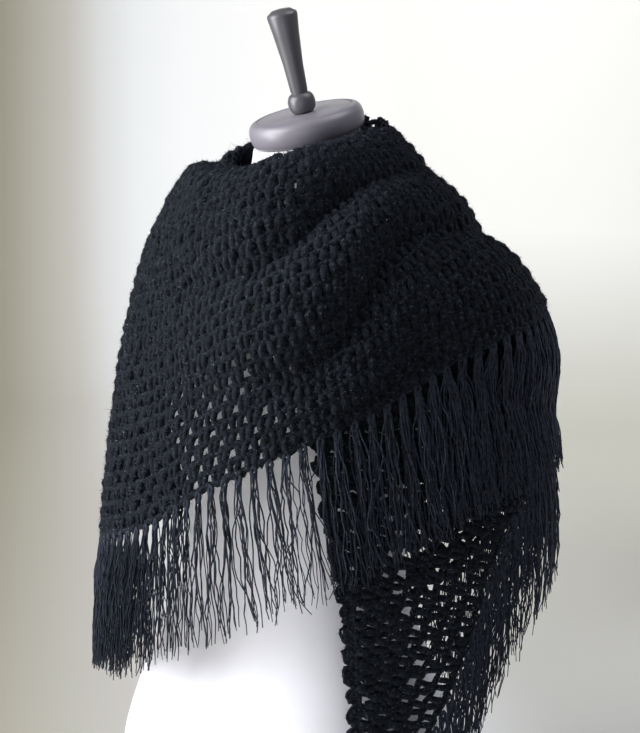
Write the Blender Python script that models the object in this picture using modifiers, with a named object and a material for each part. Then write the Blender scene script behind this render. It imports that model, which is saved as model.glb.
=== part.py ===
"""A fringed triangular shawl on a limbless dress form. Metres, +Z up; the form faces -Y.

The cloth lives on one drape surface round the form. A place on it is an angle about the
vertical axis (0 over the form's left shoulder, 90 at the back, 270 in front) and a run,
the distance down from the neck edge. The strip winds from the front end, over the left
shoulder, round the back and the chest, over the same shoulder again to the back end, and
lies further out as it winds.
"""

import bisect
import math

import bmesh
import bpy
from mathutils import Vector

WALL = 0.0036
SEAM_GAP = 0.0006
LAYER_LIFT = 0.0102
FRINGE_LENGTH = 0.150
FRINGE_LIFT = 0.002
HEM_GAP = 0.0012
STRIP_HEIGHT = 0.006
STRIP_DEPTH = 0.0046
LOWEST_TIP = 0.014
TASSEL_PITCH = 0.0175
SHELL_PITCH = 0.026
SHELL_DEPTH = 0.016
BORDER_GAP = 0.0010
HEAD_LEAN = math.radians(15.6)
LEAN_WAY = Vector((-0.36, -0.93, 0.0)).normalized()
CAP_RADIUS = 0.060
CAP_HEIGHT = 0.0262
CAP_FOOT = Vector((0.004, 0.000, 0.8965))
HANDLE_LENGTH = 0.0857
BALL_RADIUS = 0.0142
BALL_HEIGHT = 0.020
BALL_NECK = 0.0085
HANDLE = (
    # share, radius
    (0.00, 0.0084),
    (0.04, 0.0089),
    (0.35, 0.0102),
    (0.70, 0.0132),
    (0.93, 0.0157),
    (0.955, 0.0150),
    (1.00, 0.0095),
)

COLLECTION = "crochet_shawl_on_form"
STAND = "stand_point"
NECK_Z = 0.846
TORSO_SIDES = 32
PROFILE_STEPS = 90
NORMAL_STEP = 0.004
SECOND_LAYER_FROM = 268.0
SECOND_LAYER_RISE = 36.0
ROWS_PER_FOLD = (6, 6, 5, 4)
LAST_ROWS = 0.020
WRAP_PARTS = (
    # first angle, last angle, columns
    (58.0, 262.0, 18),
    (262.0, 404.0, 34),
)

# The neck, base and shoulder points of the drape at each angle, and its radius at BUST_Z,
# MID_Z and LOW_Z.
BUST_Z = 0.740
MID_Z = 0.500
LOW_Z = 0.080
DRAPE = (
    # angle, neck_r, neck_z, base_r, base_z, shoulder_r, shoulder_z, bust_r, mid_r, low_r
    (0, 0.069, 0.900, 0.090, 0.880, 0.130, 0.846, 0.200, 0.240, 0.223),
    (24, 0.069, 0.903, 0.089, 0.884, 0.126, 0.850, 0.207, 0.270, 0.238),
    (48, 0.071, 0.904, 0.087, 0.884, 0.117, 0.851, 0.203, 0.266, 0.238),
    (90, 0.080, 0.916, 0.084, 0.884, 0.112, 0.850, 0.156, 0.190, 0.198),
    (132, 0.080, 0.926, 0.085, 0.886, 0.116, 0.851, 0.172, 0.198, 0.210),
    (180, 0.076, 0.894, 0.088, 0.866, 0.136, 0.849, 0.188, 0.220, 0.232),
    (222, 0.076, 0.876, 0.092, 0.862, 0.122, 0.854, 0.172, 0.208, 0.220),
    (255, 0.072, 0.862, 0.086, 0.858, 0.110, 0.846, 0.157, 0.196, 0.210),
    (285, 0.071, 0.860, 0.086, 0.858, 0.110, 0.842, 0.166, 0.198, 0.204),
    (312, 0.070, 0.870, 0.087, 0.865, 0.120, 0.845, 0.182, 0.206, 0.204),
    (340, 0.069, 0.888, 0.089, 0.875, 0.128, 0.846, 0.187, 0.213, 0.214),
)

# Where the lower edge of the wrapped stretch runs.
HEM = (
    # angle, hem_z
    (58, 0.600),
    (90, 0.560),
    (132, 0.490),
    (180, 0.436),
    (205, 0.440),
    (222, 0.460),
    (251, 0.494),
    (267, 0.520),
    (281, 0.553),
    (299, 0.588),
    (319, 0.627),
    (343, 0.668),
    (355, 0.690),
    (369, 0.706),
    (404, 0.712),
)

# The three folds of the wrapped stretch, each between two creases: the run where it ends
# and how far it stands off the drape. The first starts at the neck edge.
FOLDS = (
    # angle, cowl_end, cowl, upper_end, upper, lower_end, lower
    (58, 0.085, 0.000, 0.160, 0.000, 0.235, 0.000),
    (132, 0.105, 0.000, 0.190, 0.000, 0.280, 0.000),
    (190, 0.135, 0.000, 0.220, 0.000, 0.310, 0.000),
    (225, 0.160, 0.000, 0.245, 0.000, 0.330, 0.000),
    (240, 0.165, 0.006, 0.245, 0.000, 0.330, 0.000),
    (261, 0.150, 0.016, 0.240, 0.002, 0.325, 0.000),
    (285, 0.138, 0.022, 0.240, 0.010, 0.320, 0.000),
    (300, 0.134, 0.024, 0.238, 0.018, 0.310, 0.000),
    (310, 0.120, 0.024, 0.234, 0.024, 0.302, 0.000),
    (316, 0.103, 0.024, 0.227, 0.026, 0.294, 0.002),
    (322, 0.088, 0.022, 0.208, 0.027, 0.286, 0.006),
    (329, 0.077, 0.020, 0.176, 0.026, 0.268, 0.013),
    (334, 0.071, 0.018, 0.156, 0.024, 0.252, 0.016),
    (341, 0.067, 0.016, 0.138, 0.022, 0.236, 0.018),
    (350, 0.065, 0.014, 0.131, 0.018, 0.246, 0.019),
    (363, 0.065, 0.010, 0.134, 0.013, 0.280, 0.022),
    (377, 0.066, 0.006, 0.142, 0.010, 0.320, 0.025),
    (404, 0.068, 0.004, 0.150, 0.008, 0.350, 0.024),
    (445, 0.072, 0.000, 0.155, 0.000, 0.360, 0.000),
)

# The two hanging ends: their scalloped long edge and fringed hem edge, in angle and run.
FRONT_END = (
    # share, long_angle, long_run, hem_angle, hem_run
    (0.00, 57.6, 0.000, 57.6, 0.368),
    (0.10, 28.0, 0.000, 50.0, 0.364),
    (0.20, -10.0, 0.004, 41.0, 0.362),
    (0.30, -36.0, 0.050, 31.0, 0.370),
    (0.40, -43.0, 0.160, 21.0, 0.387),
    (0.50, -41.0, 0.290, 12.0, 0.420),
    (0.60, -37.0, 0.385, 5.0, 0.470),
    (0.70, -33.0, 0.460, 1.0, 0.525),
    (0.80, -30.0, 0.560, -6.0, 0.600),
    (0.90, -28.0, 0.670, -16.0, 0.690),
    (1.00, -27.0, 0.770, -22.0, 0.785),
)
BACK_END = (
    (0.00, 404.8, 0.000, 404.8, 0.272),
    (0.12, 425.0, 0.000, 408.0, 0.305),
    (0.24, 450.0, 0.010, 410.0, 0.345),
    (0.36, 470.0, 0.060, 413.0, 0.385),
    (0.50, 480.0, 0.160, 417.0, 0.430),
    (0.75, 478.0, 0.380, 431.0, 0.530),
    (1.00, 466.0, 0.610, 459.0, 0.620),
)

TORSO = (
    # z, half_width, half_depth, centre_y
    (0.000, 0.176, 0.140, 0.000),
    (0.012, 0.184, 0.147, 0.000),
    (0.110, 0.198, 0.158, 0.000),
    (0.215, 0.203, 0.162, 0.000),
    (0.290, 0.184, 0.144, -0.001),
    (0.340, 0.163, 0.124, -0.001),
    (0.390, 0.143, 0.107, -0.002),
    (0.450, 0.128, 0.095, -0.002),
    (0.510, 0.132, 0.098, -0.003),
    (0.590, 0.149, 0.112, -0.008),
    (0.670, 0.162, 0.124, -0.012),
    (0.730, 0.174, 0.118, -0.008),
    (0.775, 0.172, 0.100, 0.002),
    (0.805, 0.157, 0.088, 0.006),
    (0.825, 0.139, 0.078, 0.006),
    (0.838, 0.110, 0.067, 0.004),
    (0.848, 0.080, 0.059, 0.002),
    (0.866, 0.059, 0.055, 0.000),
    (0.8958, 0.053, 0.053, 0.000),
)

MATERIALS = {
    # name: colour, roughness, metallic
    "yarn": ((0.012, 0.013, 0.018), 0.85, 0.0),
    "fringe_yarn": ((0.012, 0.013, 0.018), 0.80, 0.0),
    "form_cover": ((0.83, 0.82, 0.82), 0.75, 0.0),
    "cap_paint": ((0.165, 0.150, 0.158), 0.42, 0.0),
}


def clear_scene():
    for obj in list(bpy.data.objects):
        bpy.data.objects.remove(obj, do_unlink=True)


def hermite(keys, values, at):
    """A smooth value between table rows."""
    if at <= keys[0]:
        return values[0]
    if at >= keys[-1]:
        return values[-1]
    i = bisect.bisect_right(keys, at) - 1
    span = keys[i + 1] - keys[i]
    t = (at - keys[i]) / span

    def slope(j):
        low = max(j - 1, 0)
        high = min(j + 1, len(keys) - 1)
        return (values[high] - values[low]) / (keys[high] - keys[low])

    a = values[i]
    b = values[i + 1]
    t2 = t * t
    t3 = t2 * t
    return (
        a * (2 * t3 - 3 * t2 + 1)
        + slope(i) * span * (t3 - 2 * t2 + t)
        + b * (3 * t2 - 2 * t3)
        + slope(i + 1) * span * (t3 - t2)
    )


def column(table, index, at):
    return hermite([row[0] for row in table], [row[index] for row in table], at)


def round_table(table):
    """The rows once more before and after, so that angles join up."""
    before = [(row[0] - 360, *row[1:]) for row in table[-3:]]
    after = [(row[0] + 360, *row[1:]) for row in table[:3]]
    return before + list(table) + after


ROUND_DRAPE = round_table(DRAPE)
PROFILES = {}


def profile(angle):
    """Points (run, r, z) down the drape at one angle."""
    key = round(angle % 360, 3)
    if key in PROFILES:
        return PROFILES[key]
    value = [column(ROUND_DRAPE, index, key) for index in range(1, 10)]
    neck_r, neck_z, base_r, base_z, shoulder_r, shoulder_z, bust_r, mid_r, low_r = value
    knots = [
        (neck_r, neck_z),
        (base_r, base_z),
        (shoulder_r, shoulder_z),
        (bust_r, BUST_Z),
        (mid_r, MID_Z),
        (low_r, LOW_Z),
    ]
    spots = [0.0]
    for a, b in zip(knots, knots[1:]):
        spots.append(spots[-1] + math.dist(a, b) ** 0.6)
    points = []
    run = 0.0
    for i in range(PROFILE_STEPS + 1):
        at = spots[-1] * i / PROFILE_STEPS
        r = hermite(spots, [knot[0] for knot in knots], at)
        z = hermite(spots, [knot[1] for knot in knots], at)
        if points:
            run += math.dist((r, z), points[-1][1:])
        points.append((run, r, z))
    PROFILES[key] = points
    return points


def drape(angle, run):
    """The place on the drape surface."""
    points = profile(angle)
    runs = [point[0] for point in points]
    i = min(max(bisect.bisect_right(runs, run) - 1, 0), len(points) - 2)
    a = points[i]
    b = points[i + 1]
    t = (run - a[0]) / (b[0] - a[0])
    r = a[1] + (b[1] - a[1]) * t
    z = a[2] + (b[2] - a[2]) * t
    turn = math.radians(angle)
    return Vector((r * math.cos(turn), r * math.sin(turn), z))


def outward(angle, run):
    """The unit normal of the drape surface, away from the form."""
    low = max(run - NORMAL_STEP, 0.0)
    down = drape(angle, low + 2 * NORMAL_STEP) - drape(angle, low)
    along = drape(angle + 1.5, run) - drape(angle - 1.5, run)
    return down.cross(along).normalized()


def run_at(angle, z):
    """The run at which the drape comes down to this height, below the neck."""
    points = profile(angle)
    for a, b in zip(points, points[1:]):
        if b[2] <= z < NECK_Z:
            return a[0] + (b[0] - a[0]) * (a[2] - z) / (a[2] - b[2])
    return points[-1][0]


def smooth_step(value):
    value = min(max(value, 0.0), 1.0)
    return value * value * (3 - 2 * value)


def creases(angle):
    """Runs of the neck edge and of the three creases."""
    return [0.0] + [column(FOLDS, i, angle) for i in (1, 3, 5)]


def fold_height(angle, run):
    """How far the folds stand off the drape: each puffs out between its two creases."""
    if angle < FOLDS[0][0]:
        return 0.0
    lines = creases(angle)
    for i, (top, end) in enumerate(zip(lines, lines[1:])):
        if top <= run < end:
            share = (run - top) / (end - top)
            return max(column(FOLDS, 2 * i + 2, angle), 0.0) * 4 * share * (1 - share)
    return 0.0


def winding_lift(angle):
    """The second layer's lift over the first, which it climbs onto in front."""
    return LAYER_LIFT * smooth_step((angle - SECOND_LAYER_FROM) / SECOND_LAYER_RISE)


def cloth(angle, run, extra=0.0):
    """The cloth's outer face, further out the further it has wound."""
    lift = winding_lift(angle) + fold_height(angle, run) + extra
    return drape(angle, run) + outward(angle, run) * lift


def hem_run(angle):
    return run_at(angle, column(HEM, 1, angle))


def end_place(rows, u, v):
    """The place on a hanging end at u along it and v across, from long edge to hem."""
    long_angle = column(rows, 1, u)
    long_run = column(rows, 2, u)
    hem_angle = column(rows, 3, u)
    hem_end = column(rows, 4, u)
    return long_angle + (hem_angle - long_angle) * v, long_run + (hem_end - long_run) * v


def material(name):
    if name in bpy.data.materials:
        return bpy.data.materials[name]
    colour, roughness, metallic = MATERIALS[name]
    made = bpy.data.materials.new(name)
    made.use_nodes = True
    shader = made.node_tree.nodes["Principled BSDF"]
    shader.inputs["Base Color"].default_value = (*colour, 1.0)
    shader.inputs["Roughness"].default_value = roughness
    shader.inputs["Metallic"].default_value = metallic
    return made


def mesh_object(name, points, faces, material_name, closed=True):
    """A mesh object in the part's collection, shaded smooth."""
    mesh = bpy.data.meshes.new(name)
    mesh.from_pydata([tuple(point) for point in points], [], faces)
    if closed:
        work = bmesh.new()
        work.from_mesh(mesh)
        bmesh.ops.recalc_face_normals(work, faces=work.faces)
        work.to_mesh(mesh)
        work.free()
    mesh.shade_smooth()
    mesh.materials.append(material(material_name))
    obj = bpy.data.objects.new(name, mesh)
    bpy.data.collections[COLLECTION].objects.link(obj)
    obj.parent = bpy.data.objects[STAND]
    return obj


def cloth_sheet(name, columns):
    """A cloth wall over columns of places, each a list of angles and runs."""
    points = [cloth(angle, run) for column_places in columns for angle, run in column_places]
    row = len(columns[0])
    faces = []
    for i in range(len(columns) - 1):
        for j in range(row - 1):
            a = i * row + j
            faces.append((a, a + 1, a + row + 1, a + row))
    obj = mesh_object(name, points, faces, "yarn", closed=False)
    add_wall(obj)
    return obj


def add_wall(obj):
    wall = obj.modifiers.new("wall", "SOLIDIFY")
    wall.thickness = WALL
    wall.offset = -1.0


def wrap_columns():
    """The wrapped stretch, its columns closer together where the folds are."""
    angles = []
    for first, last, count in WRAP_PARTS:
        angles += [first + (last - first) * i / count for i in range(count)]
    angles.append(WRAP_PARTS[-1][1])
    return [[(angle, run) for run in wrap_runs(angle)] for angle in angles]


def wrap_runs(angle):
    """The rows of mesh from the neck edge to the hem, some of them on the creases."""
    hem = hem_run(angle)
    lines = creases(angle)
    lines[-1] = min(lines[-1], hem - LAST_ROWS)
    lines.append(hem)
    runs = [0.0]
    for (top, end), count in zip(zip(lines, lines[1:]), ROWS_PER_FOLD):
        runs += [top + (end - top) * (j + 1) / count for j in range(count)]
    return runs


def end_columns(rows, across, down):
    return [
        [end_place(rows, i / across, j / down) for j in range(down + 1)]
        for i in range(across + 1)
    ]


def edge_off(edge, s, side):
    """The way off an edge within the cloth's own surface. The side is 1 or -1."""
    ahead = cloth(*edge(min(s + 0.01, 1.0)))
    behind = cloth(*edge(max(s - 0.01, 0.0)))
    return (ahead - behind).cross(outward(*edge(s))).normalized() * side


def edge_length(edge):
    steps = 80
    spots = [cloth(*edge(i / steps)) for i in range(steps + 1)]
    return sum((b - a).length for a, b in zip(spots, spots[1:]))


def shell_border(name, rows, first, last, side):
    """The row of shells along an end's long edge: a strip whose free side bulges."""

    def edge(s):
        return end_place(rows, first + (last - first) * s, 0.0)

    steps = 3 * round(edge_length(edge) / SHELL_PITCH)
    points = []
    for i in range(steps + 1):
        s = i / steps
        here = cloth(*edge(s))
        off = edge_off(edge, s, side)
        bulge = 0.35 if i % 3 == 0 else 1.0
        points.append(here + off * (BORDER_GAP + SHELL_DEPTH * bulge))
        points.append(here + off * BORDER_GAP)
    faces = []
    for i in range(steps):
        a = 2 * i
        faces.append((a, a + 1, a + 3, a + 2))
    obj = mesh_object(name, points, faces, "yarn", closed=False)
    add_wall(obj)
    return obj


def fringe(name, edge, side, sway_at):
    """A row of locks with their roots fused into one strip just under a hem.

    The edge gives the hem's angle and run at a share from 0 to 1, and the sway is the angle
    that a lock's tip swings round by.
    """
    locks = round(edge_length(edge) / TASSEL_PITCH)
    steps = 2 * locks + 1
    points = []
    for i in range(steps + 1):
        s = i / steps
        here = cloth(*edge(s), FRINGE_LIFT)
        off = edge_off(edge, s, side)
        inward = -outward(*edge(s)) * STRIP_DEPTH
        top = here + off * HEM_GAP
        low = top + off * STRIP_HEIGHT
        points += [top, low, low + inward, top + inward]
    faces = [(0, 1, 2, 3)]
    for i in range(steps):
        a = 4 * i
        for j in range(4):
            k = (j + 1) % 4
            if j != 1 or i % 2 == 0:
                faces.append((a + j, a + 4 + j, a + 4 + k, a + k))
    faces.append(tuple(4 * steps + j for j in range(4)))
    for i in range(1, steps, 2):
        add_lock(points, faces, 4 * i, *edge((i + 0.5) / steps), sway_at((i + 0.5) / steps))
    return mesh_object(name, points, faces, "fringe_yarn")


def add_lock(points, faces, corner, angle, run, sway):
    """One lock drawn down out of the strip's open face that starts at this corner."""
    last = [corner + 1, corner + 5, corner + 6, corner + 2]
    chord = points[corner + 5] - points[corner + 1]
    drop = min(FRINGE_LENGTH, cloth(angle, run).z - LOWEST_TIP)
    for level in (0.5, 1.0):
        at_run = run + HEM_GAP + STRIP_HEIGHT + drop * level
        at_angle = angle + sway * level
        here = cloth(at_angle, at_run, FRINGE_LIFT)
        inward = -outward(at_angle, at_run) * STRIP_DEPTH * (1 - 0.25 * level)
        ahead = cloth(at_angle + 0.5, at_run, FRINGE_LIFT)
        side = (ahead - here).normalized()
        half = side * chord.dot(side) * (0.44 - 0.12 * level)
        first = len(points)
        points += [here - half, here + half, here + half + inward, here - half + inward]
        new = [first, first + 1, first + 2, first + 3]
        for j in range(4):
            k = (j + 1) % 4
            faces.append((last[j], last[k], new[k], new[j]))
        last = new
    faces.append(tuple(last))


def rounder(value):
    """A cosine or sine that makes a section slightly squarer than an ellipse."""
    return math.copysign(abs(value) ** 0.92, value)


def torso():
    """The limbless form: sections from the flat foot to the slanting top of the neck."""
    points = []
    for z, half_width, half_depth, centre_y in TORSO:
        slant = smooth_step((z - NECK_Z) / (TORSO[-1][0] - NECK_Z)) * math.tan(HEAD_LEAN)
        for i in range(TORSO_SIDES):
            turn = 2 * math.pi * i / TORSO_SIDES
            x = half_width * rounder(math.cos(turn))
            y = half_depth * rounder(math.sin(turn))
            drop = slant * (x * LEAN_WAY.x + y * LEAN_WAY.y)
            points.append(Vector((x, centre_y + y, z - drop)))
    last = len(points) - TORSO_SIDES
    faces = [tuple(range(TORSO_SIDES)), tuple(range(last, last + TORSO_SIDES))]
    for first in range(0, last, TORSO_SIDES):
        for i in range(TORSO_SIDES):
            a = first + i
            b = first + (i + 1) % TORSO_SIDES
            faces.append((a, b, b + TORSO_SIDES, a + TORSO_SIDES))
    return mesh_object("form_torso", points, faces, "form_cover")


def turned(name, outline, sides):
    """A profile turned about the leaning axis of the head; its rows are radius and height."""
    profile_points = [(0.0, 0.0, outline[-1][1])]
    profile_points += [(radius, 0.0, height) for radius, height in reversed(outline)]
    profile_points.append((0.0, 0.0, outline[0][1]))
    mesh = bpy.data.meshes.new(name)
    edges = [(i, i + 1) for i in range(len(profile_points) - 1)]
    mesh.from_pydata(profile_points, edges, [])
    mesh.materials.append(material("cap_paint"))
    obj = bpy.data.objects.new(name, mesh)
    bpy.data.collections[COLLECTION].objects.link(obj)
    obj.parent = bpy.data.objects[STAND]
    axis = LEAN_WAY * math.sin(HEAD_LEAN) + Vector((0.0, 0.0, math.cos(HEAD_LEAN)))
    obj.location = CAP_FOOT
    obj.rotation_euler = Vector((0.0, 0.0, 1.0)).rotation_difference(axis).to_euler()
    turn = obj.modifiers.new("turn", "SCREW")
    turn.steps = sides
    turn.render_steps = sides
    turn.use_merge_vertices = True
    turn.merge_threshold = 0.00001
    return obj


def neck_cap():
    """The puck over the neck: a rounded side and a flat top."""
    outline = (
        (CAP_RADIUS * 0.90, 0.0),
        (CAP_RADIUS * 0.97, CAP_HEIGHT * 0.14),
        (CAP_RADIUS, CAP_HEIGHT * 0.42),
        (CAP_RADIUS, CAP_HEIGHT * 0.66),
        (CAP_RADIUS * 0.95, CAP_HEIGHT * 0.88),
        (CAP_RADIUS * 0.86, CAP_HEIGHT),
    )
    return turned("neck_cap", outline, 32)


def finial():
    """The flattened ball and the flared handle on the cap."""
    start = CAP_HEIGHT + SEAM_GAP / 2
    outline = [(BALL_NECK, start)]
    for i in range(1, 6):
        turn = math.pi * i / 6
        height = start + BALL_HEIGHT * (1 - math.cos(turn)) / 2
        outline.append((BALL_NECK + (BALL_RADIUS - BALL_NECK) * math.sin(turn), height))
    foot = start + BALL_HEIGHT
    outline += [(radius, foot + HANDLE_LENGTH * share) for share, radius in HANDLE]
    return turned("finial", outline, 20)


def edge_of(rows, first, last):
    """The hem edge of a hanging end, between two shares of it."""

    def edge(s):
        return end_place(rows, first + (last - first) * s, 1.0)

    return edge


def wrap_edge(first, last):
    def edge(s):
        angle = first + (last - first) * s
        return angle, hem_run(angle)

    return edge


def front_sway(s):
    """The side bundle hangs to the form's back, the middle of the row to its left."""
    return hermite([0.0, 0.12, 0.40, 0.70, 1.0], [-7.0, -3.0, 5.0, 4.0, 0.0], s)


def main():
    clear_scene()
    bpy.context.scene.collection.children.link(bpy.data.collections.new(COLLECTION))
    stand = bpy.data.objects.new(STAND, None)
    bpy.data.collections[COLLECTION].objects.link(stand)
    torso()
    neck_cap()
    finial()
    cloth_sheet("shawl_wrap", wrap_columns())
    cloth_sheet("shawl_front_end", end_columns(FRONT_END, 24, 11))
    cloth_sheet("shawl_back_end", end_columns(BACK_END, 18, 9))
    shell_border("border_front_end", FRONT_END, 0.34, 0.995, 1.0)
    shell_border("border_back_end", BACK_END, 0.30, 0.995, -1.0)
    fringe("fringe_front_hem", wrap_edge(222.3, 404.0), 1.0, front_sway)
    fringe("fringe_back_hem", wrap_edge(58.5, 221.7), 1.0, lambda s: -7.0 * s * s)
    fringe("fringe_front_end", edge_of(FRONT_END, 0.01, 1.0), -1.0, lambda s: 0.0)
    fringe("fringe_back_end", edge_of(BACK_END, 0.03, 1.0), 1.0, lambda s: 0.0)


if __name__ == "__main__":
    main()
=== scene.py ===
"""Looks of a fringed crochet shawl on its dress form. Metres, +Z up; the form faces -Y.

The cloth lives on one drape surface round the form. A place on it is an angle about the
vertical axis (0 over the form's left shoulder, 90 at the back, 270 in front) and a run,
the distance down from the neck edge. Crochet rows run parallel to the fringed hems.
"""

import bisect
import math

import bpy
import numpy as np
from mathutils import Matrix, Vector


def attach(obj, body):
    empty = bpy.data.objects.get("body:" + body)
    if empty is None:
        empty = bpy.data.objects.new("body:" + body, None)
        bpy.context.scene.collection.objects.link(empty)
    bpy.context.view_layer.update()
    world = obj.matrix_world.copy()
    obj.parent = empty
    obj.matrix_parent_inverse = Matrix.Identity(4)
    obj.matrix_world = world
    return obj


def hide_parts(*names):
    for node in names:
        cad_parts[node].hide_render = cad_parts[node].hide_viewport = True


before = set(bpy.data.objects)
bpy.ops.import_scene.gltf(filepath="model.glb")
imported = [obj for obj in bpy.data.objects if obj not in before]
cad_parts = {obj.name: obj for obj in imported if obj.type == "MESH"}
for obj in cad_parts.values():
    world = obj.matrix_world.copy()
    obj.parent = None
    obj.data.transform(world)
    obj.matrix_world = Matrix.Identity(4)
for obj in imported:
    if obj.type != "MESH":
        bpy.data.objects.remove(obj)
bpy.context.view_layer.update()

# Sizes are in metres. A lift is measured from the drape's outer face, and NUDGE is the half
# step over which a rate along a row is measured.
LAYER_LIFT = 0.0102
YARN_LIFT = -0.0008
FRINGE_LENGTH = 0.150
FRINGE_LIFT = 0.002
HEM_GAP = 0.0012
LOWEST_TIP = 0.014
TASSEL_PITCH = 0.0175
KNOT_RADIUS = 0.0019
KNOT_LIFT = 0.0016
HANG_RADIUS = 0.2
END_STRANDS = 11
FRONT_STRANDS = ((0.0, 34), (0.17, 34), (0.22, 12), (0.52, 12), (0.60, 20), (1.0, 20))
BACK_STRANDS = ((0.0, 8), (0.85, 8), (1.0, 16))
FRONT_SWAY = ((0.0, -7.0), (0.12, -3.0), (0.40, 5.0), (0.70, 4.0), (1.0, 0.0))
SHELL_PITCH = 0.021
SHELL_DEPTH = 0.013
SHELL_TURNS = (-78, -52, -26, 0, 26, 52, 78)
SHELL_ARCH_POINTS = 13
SHELLS_END = 0.995

STRAND_POINTS = 15
STRAND_RADIUS = 0.00077
STITCH_PITCH = 0.021
ROW_HEIGHT = 0.0160
FIRST_ROW = 0.35
LEAST_ROW = 0.4
POST_FOOT = 0.0035
POST_HEAD = 0.0057
POST_RADIUS = 0.0044
POST_DEPTH = 0.72
POST_PUFF = 0.0030
CHAIN_RADIUS = 0.0039
CHAIN_LIFT = -0.0006
BAR_RADIUS = 0.0042
BAR_DEPTH = 0.0036
TUBE_SIDES = 5
LUMPINESS = 0.13
EDGE_POINTS = 240
FIBRE_WIDTH = 0.00074
FIBRE_LENGTH = 0.0068
HAIR_LENGTH = 0.012
HAIR_WIDTH = 0.00026
NECK_TRIM = 0.0080
GLINT_LENGTH = 0.0011
NUDGE = 0.0005

SHAWL_NODES = (
    "shawl_wrap", "shawl_front_end", "shawl_back_end", "border_front_end", "border_back_end",
    "fringe_front_hem", "fringe_back_hem", "fringe_front_end", "fringe_back_end",
)

YARNS = (
    # name, dark, light, sheen, gloss
    ("yarn", (0.0026, 0.0029, 0.0037), (0.0140, 0.0170, 0.0220), 0.06, 0.04),
    ("strand_yarn", (0.011, 0.013, 0.019), (0.036, 0.043, 0.060), 0.08, 0.12),
    ("mohair", (0.011, 0.014, 0.018), (0.030, 0.038, 0.048), 0.14, 0.10),
    ("pale_mohair", (0.034, 0.042, 0.055), (0.078, 0.095, 0.124), 0.10, 0.2),
)

# Where the net opens up, each from shut to open: angles and insets of the wrapped stretch,
# then distances from the long edge and shares of a hanging end.
OPEN_PAST = (196.0, 222.0)
OPEN_BEFORE = (314.0, 294.0)
OPEN_UNDER = (0.20, 0.13)
END_OPEN_INSIDE = (0.058, 0.070)
END_OPEN_BELOW = (0.47, 0.53)

VIEW_AZIMUTH = math.radians(42.0)
VIEW_PITCH = math.radians(11.3)
VIEW_ROLL = math.radians(1.5)
VIEW_DISTANCE = 1.70
VIEW_HEIGHT = 0.995
VIEW_SIDESTEP = 0.020
VIEW_FOCUS_PIXELS = 1635.0
PICTURE_HEIGHT = 733.0
SENSOR_WIDTH = 36.0
VIEW_RIGHT = Vector((math.cos(VIEW_AZIMUTH), math.sin(VIEW_AZIMUTH), 0.0))
VIEW_BACK = Vector((math.sin(VIEW_AZIMUTH), -math.cos(VIEW_AZIMUTH), 0.0))

HEAD_LEAN = math.radians(15.6)
LEAN_WAY = Vector((-0.36, -0.93, 0.0)).normalized()
CAP_RADIUS = 0.060
CAP_HEIGHT = 0.0262
CAP_FOOT = Vector((0.004, 0.000, 0.8965))
CAP_SIDE = (
    # shares of the radius and of the height
    (0.88, 0.0),
    (0.965, 0.12),
    (1.0, 0.46),
    (0.985, 0.76),
    (0.93, 0.94),
    (0.865, 1.0),
)
HANDLE_LENGTH = 0.0857
BALL_RADIUS = 0.0142
BALL_HEIGHT = 0.020
BALL_NECK = 0.0085
HANDLE = (
    # share, radius
    (0.00, 0.0084),
    (0.04, 0.0089),
    (0.35, 0.0102),
    (0.70, 0.0132),
    (0.93, 0.0157),
    (0.955, 0.0150),
    (1.00, 0.0095),
)
NECK_Z = 0.846
TORSO_SIDES = 104
CAP_SIDES = 128
FINIAL_SIDES = 64

CAP_PAINT = (0.22, 0.205, 0.235)
HANDLE_PAINT = (0.088, 0.086, 0.095)

# The sweep's floor and wall, and the painted light and shade on them, across the view and up it.
SWEEP_REACH = 3.8
SWEEP_BEND = 1.2
SWEEP_NEAR = -3.0
SWEEP_TOP = 5.0
SWEEP_HALF_WIDTH = 7.0
SWEEP_DROP = 0.0004
SWEEP_SLANT = 0.185
SWEEP_RISE = 0.5
# Painted light and shade across the view, dark at its left edge.
SWEEP_SIDE_PAINTED_LIGHT = (
    (0.045, (0.35, 0.33, 0.26)),
    (0.095, (0.44, 0.43, 0.37)),
    (0.14, (0.52, 0.50, 0.46)),
    (0.19, (0.65, 0.66, 0.66)),
    (0.24, (0.73, 0.75, 0.76)),
    (0.31, (0.75, 0.76, 0.77)),
    (0.52, (0.67, 0.67, 0.66)),
    (0.65, (0.59, 0.59, 0.58)),
    (0.98, (0.53, 0.53, 0.52)),
)
# Painted light up the wall, brighter towards the top.
SWEEP_HEIGHT_PAINTED_LIGHT = (
    (0.0, (0.68, 0.67, 0.62)),
    (0.22, (0.63, 0.63, 0.57)),
    (0.45, (0.71, 0.71, 0.67)),
    (0.65, (0.85, 0.85, 0.84)),
    (0.85, (1.0, 1.0, 1.0)),
)

ROOM_COLOUR = (0.84, 0.88, 1.0, 1)
ROOM_STRENGTH = 0.17
LAMPS = (
    # name, (right, back, height), target, size, power, colour
    ("window", (-2.1, 0.58, 1.35), (0, 0, 0.6), 1.8, 102.0, (0.98, 0.98, 1.0)),
    ("low_fill", (-1.85, 0.55, 0.32), (0, 0, 0.44), 0.7, 17.0, (0.90, 0.91, 1.0)),
    ("front_fill", (-0.2, 1.65, 0.36), (0, 0, 0.5), 0.9, 4.2, (0.88, 0.89, 1.0)),
    ("ceiling", (0.7, 0.1, 2.3), (0, 0, 0.8), 1.1, 13.0, (0.95, 0.96, 1.0)),
    ("side_fill", (1.15, -0.75, 0.28), (0.05, 0.05, 0.45), 0.6, 5.0, (0.84, 0.85, 1.0)),
)
WASH_PLACE = (0.95, -2.0, 2.2)
WASH_TARGET = (0.95, -3.8, 0.8)

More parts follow.
